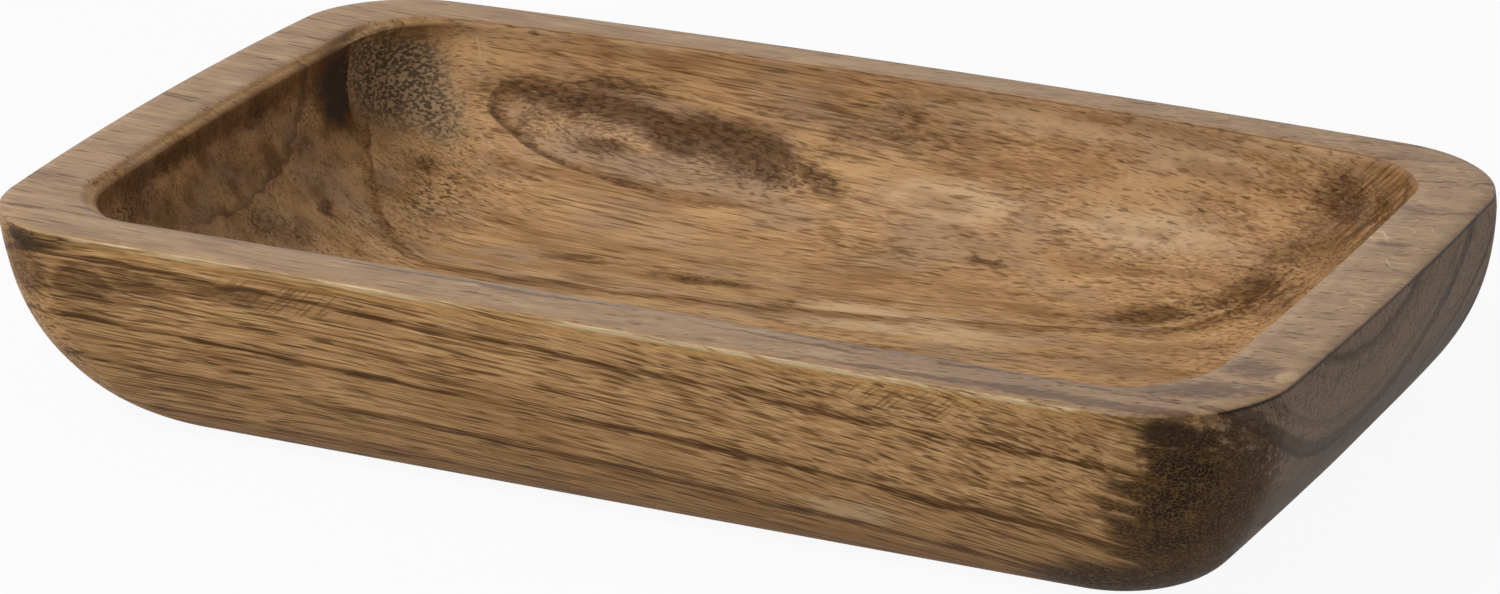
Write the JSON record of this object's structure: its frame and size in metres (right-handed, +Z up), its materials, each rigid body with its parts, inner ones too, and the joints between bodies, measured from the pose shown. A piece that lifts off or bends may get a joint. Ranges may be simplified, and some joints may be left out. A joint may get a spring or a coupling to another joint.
{
  "type": "carved wooden tray",
  "caption": "Shallow rectangular decorative tray carved from one block of stained wood, with a flat rim, round corners, walls that curve under to a flat base and a smooth hollow.",
  "frame": {"origin": "middle of the flat base, on the surface that the tray stands on", "axes": "+X along the tray towards its right end, +Y towards its back, +Z up out of the hollow"},
  "size_m": [0.3, 0.1842, 0.048],
  "materials": {
    "stained_wood": "satin, open-pored, brown stain"
  },
  "bodies": {
    "root": {"carved_tray": "stained_wood"}
  },
  "joints": []
}
